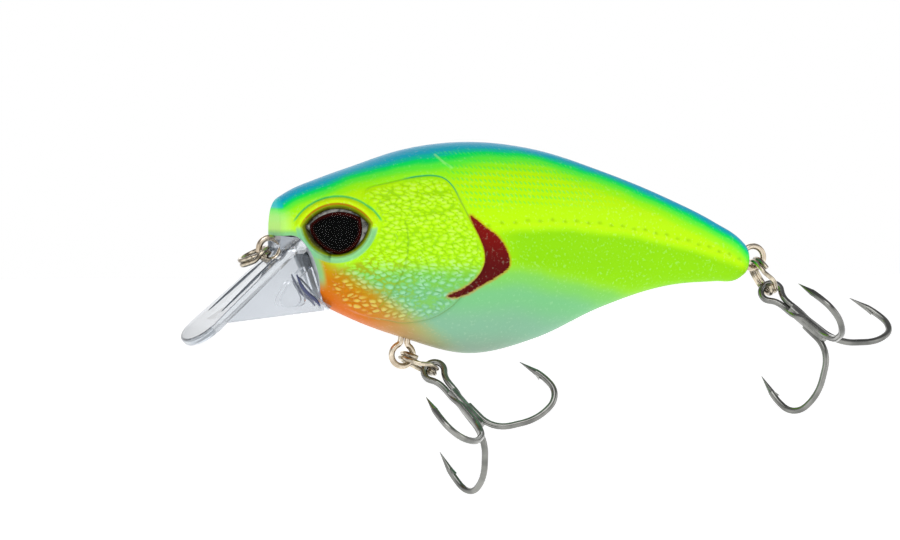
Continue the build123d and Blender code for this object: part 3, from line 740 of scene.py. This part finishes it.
def clear_moulding():
    """The lip: painted shade greys the plate's broad top face; bright on its edge, milky at the chin."""
    m = Maker("clear_polycarbonate_with_painted_shade")
    x, y, z = split_place(m)
    swirl = m.noise(120, 2)
    m.bump(swirl, 0.06, 0.05)
    above = m.sums("ADD", m.sums("MULTIPLY", m.sums("SUBTRACT", z, LIP_ROOT[1]), cos(LIP_ANGLE)),
                   m.sums("MULTIPLY", m.sums("SUBTRACT", LIP_ROOT[0], x), sin(LIP_ANGLE)))
    sideways = m.sums("ABSOLUTE", y)
    # Painted shade: the plate's broad top face is tinted a darker grey.
    top = m.between(m.sums("ABSOLUTE", above), 0.30, 0.06)
    down = m.sums("ADD", m.sums("MULTIPLY", m.sums("SUBTRACT", LIP_ROOT[0], x), cos(LIP_ANGLE)),
                  m.sums("MULTIPLY", m.sums("SUBTRACT", LIP_ROOT[1], z), sin(LIP_ANGLE)))
    plate = m.sums("MULTIPLY", m.between(above, -0.04, -0.16), m.between(above, -1.5, -1.2))
    band = m.sums("MULTIPLY", m.between(sideways, 2.0, 3.0), plate)
    tip = m.sums("MULTIPLY", m.between(down, 15.3, 15.6), plate)
    chin = m.between(above, 0.35, 0.9)
    colour = m.mix(top, linear(218, 223, 229), linear(112, 118, 126))
    colour = m.mix(band, colour, linear(226, 230, 234))
    colour = m.mix(tip, colour, linear(168, 175, 182))
    colour = m.mix(chin, colour, linear(176, 182, 190))
    clarity = m.sums("SUBTRACT", 0.8, m.sums("MULTIPLY", chin, 0.55))
    return m.set(Base_Color=colour, Roughness=0.06, IOR=1.30, Transmission_Weight=clarity,
                 Specular_IOR_Level=0.2)


def foil():
    m = Maker("eye_foil")
    grain = m.noise(1500, 2)
    colour = m.ramp(grain, [(0.3, linear(66, 66, 62)), (0.7, linear(150, 150, 144))])
    m.bump(grain, 0.4, 0.06)
    return m.set(Base_Color=colour, Metallic=0.9, Roughness=0.28)


def pupil_black():
    m = Maker("pupil_black")
    edge = m.value("eye")
    colour = m.ramp(m.sums("ADD", edge, m.sums("MULTIPLY", m.noise(1600, 2), 0.05)), [
        (-0.50, linear(2, 3, 3)),
        (-0.34, linear(30, 4, 3)),
        (-0.12, linear(58, 10, 6)),
        (0.02, linear(34, 6, 4)),
    ])
    return m.set(Base_Color=colour, Roughness=0.5, Specular_IOR_Level=0.03)


paint_material = paint()
inner_material = inner_plastic()
for shell in (left, right):
    shell.data.materials.append(paint_material)
    shell.data.materials.append(inner_material)

lip_clear = clear_moulding()
lens_clear = clear_plastic("clear_eye_resin", linear(250, 250, 250), 0.01, 1.12, 1.0, 0.25)
wire_steel = metal("hanger_wire_steel", linear(176, 160, 138), linear(236, 224, 204), (0.12, 0.26), 900)
ring_steel = metal("split_ring_steel", linear(88, 80, 66), linear(224, 212, 190), (0.10, 0.24), 800)
black_nickel = metal("black_nickel", linear(102, 103, 100), linear(148, 148, 144), (0.10, 0.18), 300)
braze_nickel = metal("braze_nickel", linear(112, 113, 110), linear(164, 164, 160), (0.18, 0.30), 500)
lead = metal("ballast_metal", linear(96, 98, 102), linear(140, 142, 146), (0.45, 0.7), 500)
ball_steel = metal("ball_steel", linear(190, 190, 188), linear(225, 225, 222), (0.05, 0.12), 500)


def dress(names, material):
    for name in names:
        thing = nodes[name]
        thing.data.materials.clear()
        thing.data.materials.append(material)


# --------------------------------------------------------------------------------- eyes
AROUND, RINGS = 120, 26


def eye_radius(angle, outline, growth):
    """How far an eye outline, grown outwards, lies from the eye's middle in one direction."""
    low, high = 0.0, 8.0
    for _ in range(30):
        middle = (low + high) / 2
        if outline(middle * cos(angle), middle * sin(angle)) < growth:
            low = middle
        else:
            high = middle
    return low


def eye_dome(side, name, outline, growth, base, rim, crown):
    """Closed cap on the eye's plane: base is its underside, rim its edge and crown its middle."""
    angles = 2 * pi * np.arange(AROUND) / AROUND
    reach = np.array([eye_radius(a, outline, growth) for a in angles])
    spread = np.sin(np.linspace(0, 1, RINGS + 1)[1:] * pi / 2)
    lift = rim + (crown - rim) * (1 - spread**2.4) ** 0.5
    rear = [0.0] + list((spread[:, None] * reach * np.cos(angles)).ravel()) + list(reach * np.cos(angles))
    up = [0.0] + list((spread[:, None] * reach * np.sin(angles)).ravel()) + list(reach * np.sin(angles))
    out = [crown] + list(np.repeat(lift, AROUND)) + [base] * AROUND
    rear, up, out = np.array(rear), np.array(up), np.array(out)
    following = (np.arange(AROUND) + 1) % AROUND
    faces = [(0, 1 + j, 1 + following[j]) for j in range(AROUND)]
    for k in range(RINGS):
        first, second = 1 + k * AROUND, 1 + (k + 1) * AROUND
        faces += [(first + j, second + j, second + following[j], first + following[j]) for j in range(AROUND)]
    faces.append([1 + RINGS * AROUND + j for j in range(AROUND)][::-1])
    where = np.stack([
        EYE_CENTRE[0] + rear * cos(EYE_TURN) - out * sin(EYE_TURN),
        side * (EYE_CENTRE[1] + rear * sin(EYE_TURN) + out * cos(EYE_TURN)),
        EYE_CENTRE[2] + up,
    ], axis=1)
    if side > 0:
        faces = [f[::-1] for f in faces]
    dome = make_mesh(name, where, faces)
    keep_value(dome, "eye", pupil_edge(rear, up))
    return dome


def build_eye(side, name):
    """Foil dish, domed pupil and clear domed lens, in place of the flat ones of the frame."""
    parts = [
        ("foil", lens_edge, 0.02, (-1.88, -1.25, -0.9), foil_material, "iris", "eye_foil"),
        ("pupil", pupil_edge, 0.0, (-1.5, -0.92, -0.1), pupil_material, "pupil", "pupil"),
        ("lens", lens_edge, 0.0, (-1.86, -0.62, 0.4), lens_clear, "lens", "eye_lens"),
    ]
    for label, outline, growth, heights, material, node, slot in parts:
        piece = eye_dome(side, f"{name}_domed_{label}", outline, growth, *heights)
        piece.data.materials.append(material)
        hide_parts(f"{name}_eye_{node}")
        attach(piece, "lure")


pupil_material = pupil_black()
foil_material = foil()
build_eye(-1, "left")
build_eye(1, "right")


# ----------------------------------------------------------------- details of the clear lip
def bead(name, spots, radius, material):
    """Thin rounded bead of plastic along a smooth line, tapering to its ends."""
    curve = bpy.data.curves.new(name, "CURVE")
    curve.dimensions = "3D"
    curve.bevel_depth = radius * MM
    curve.bevel_resolution = 3
    curve.use_fill_caps = True
    spline = curve.splines.new("NURBS")
    spline.points.add(len(spots) - 1)
    for k, (point, spot) in enumerate(zip(spline.points, spots)):
        point.co = (*(Vector(spot) * MM), 1)
        point.radius = 0.35 if k in (0, len(spots) - 1) else 1.0
    spline.order_u = 3
    spline.use_endpoint_u = True
    thing = bpy.data.objects.new(name, curve)
    bpy.context.scene.collection.objects.link(thing)
    thing.data.materials.append(material)
    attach(thing, "lure")


def on_lip(along, y, height):
    """Point above the lip's top face, a distance down its slope."""
    return (LIP_ROOT[0] - along * cos(LIP_ANGLE) - height * sin(LIP_ANGLE), y,
            LIP_ROOT[1] - along * sin(LIP_ANGLE) + height * cos(LIP_ANGLE))


# Painted shade: a smoky blue-grey bead along each side of the web's root stands in for the dark streak that
# shade and refraction make in the clear lip.
painted_shade_plastic = clear_plastic("painted_shade_polycarbonate", linear(100, 105, 142), 0.15, 1.34, 0.45, 0.3)
for side, name in ((-1, "left"), (1, "right")):
    rib = [(2.6, 2.0, 0.0), (5, 2.3, 0.02), (9, 2.7, 0.02), (12.6, 3.0, 0.0)]
    bead(f"{name}_lip_rib", [on_lip(along, side * y, height) for along, y, height in rib], 0.16, lip_clear)
    web_face = side * 1.52
    root = [(3.2, -3.3), (3.7, -4.7), (4.8, -5.9), (5.9, -6.7), (6.35, -7.4)]
    bead(f"{name}_web_root_shade_streak", [(x, web_face, z) for x, z in root], 0.24, painted_shade_plastic)

dress(["diving_lip"], lip_clear)
dress(["line_tie", "belly_hanger", "tail_hanger"], wire_steel)
dress(["nose_split_ring", "belly_split_ring", "tail_split_ring"], ring_steel)
dress(["belly_double_hook", "belly_single_hook", "tail_double_hook", "tail_single_hook"], black_nickel)
dress(["belly_braze", "tail_braze"], braze_nickel)
dress(["belly_ballast"], lead)
dress(["knocker_ball", "rattle_ball_1", "rattle_ball_2", "rattle_ball_3"], ball_steel)


# -------------------------------------------------------------------------------- stage
def white(name, shade, glow):
    m = Maker(name)
    speck = m.noise(6, 2)
    paler = shade + 0.02
    colour = m.ramp(speck, [(0.3, (shade, shade, shade, 1)), (0.7, (paler, paler, paler, 1))])
    m.set(Base_Color=colour, Roughness=0.8, Emission_Strength=glow)
    m.shader.inputs["Emission Color"].default_value = (1, 1, 1, 1)
    return m.material


def stage_plane(name, corners, material):
    thing = make_mesh(name, corners, [(0, 1, 2, 3)], smooth_faces=False)
    thing.data.materials.append(material)


FLOOR_HEIGHT, FLOOR_REACH = -62, 3000
corner_signs = ((-1, -1), (1, -1), (1, 1), (-1, 1))
floor_corners = [(x * FLOOR_REACH, y * FLOOR_REACH, FLOOR_HEIGHT) for x, y in corner_signs]
stage_plane("floor", floor_corners, white("pale_floor", 0.9, 0.64))


def soft_light(name, place, aim, width, height, power):
    data = bpy.data.lights.new(name, "AREA")
    data.shape = "RECTANGLE"
    data.size, data.size_y = width * MM, height * MM
    data.energy = power
    thing = bpy.data.objects.new(name, data)
    bpy.context.scene.collection.objects.link(thing)
    thing.location = Vector(place) * MM
    thing.rotation_mode = "QUATERNION"
    thing.rotation_quaternion = (Vector(aim) - Vector(place)).to_track_quat("-Z", "Y")


MIDDLE = (30, 0, -4)
soft_light("key", (-120, -420, 420), MIDDLE, 420, 320, 0.9)
soft_light("fill", (-420, -380, -20), MIDDLE, 300, 380, 0.25)
soft_light("side", (460, -240, 120), MIDDLE, 260, 360, 0.25)
soft_light("behind", (60, 420, 260), MIDDLE, 420, 300, 0.5)

world = bpy.data.worlds.new("studio")
bpy.context.scene.world = world
world.use_nodes = True
sky = world.node_tree
direction = sky.nodes.new("ShaderNodeTexCoord")
height = sky.nodes.new("ShaderNodeSeparateXYZ")
shade = sky.nodes.new("ShaderNodeValToRGB")
sky.links.new(direction.outputs["Generated"], height.inputs[0])
sky.links.new(height.outputs["Z"], shade.inputs[0])
sky.links.new(shade.outputs["Color"], sky.nodes["Background"].inputs["Color"])
shade.color_ramp.elements[0].position = 0.30
shade.color_ramp.elements[0].color = (1, 1, 1, 1)
shade.color_ramp.elements[1].position = 0.55
shade.color_ramp.elements[1].color = (0.30, 0.30, 0.31, 1)
bpy.context.scene.view_settings.view_transform = "Standard"

# ------------------------------------------------------------------------------- camera
CAMERA_AZIMUTH, CAMERA_ELEVATION = radians(-18), radians(1)
CAMERA_TARGET = Vector((24.47, 0, -2.86))
CAMERA_DISTANCE = 1000.0
FRAME_WIDTH = 117.0
away = Vector((sin(CAMERA_AZIMUTH) * cos(CAMERA_ELEVATION), -cos(CAMERA_AZIMUTH) * cos(CAMERA_ELEVATION),
               sin(CAMERA_ELEVATION)))
camera_data = bpy.data.cameras.new("camera")
camera_data.sensor_width = 36
camera_data.lens = 36 * CAMERA_DISTANCE / FRAME_WIDTH
camera_data.clip_start, camera_data.clip_end = 0.01, 20
camera = bpy.data.objects.new("camera", camera_data)
bpy.context.scene.collection.objects.link(camera)
camera.location = (CAMERA_TARGET + away * CAMERA_DISTANCE) * MM
camera.rotation_mode = "QUATERNION"
camera.rotation_quaternion = (-away).to_track_quat("-Z", "Y")
bpy.context.scene.camera = camera
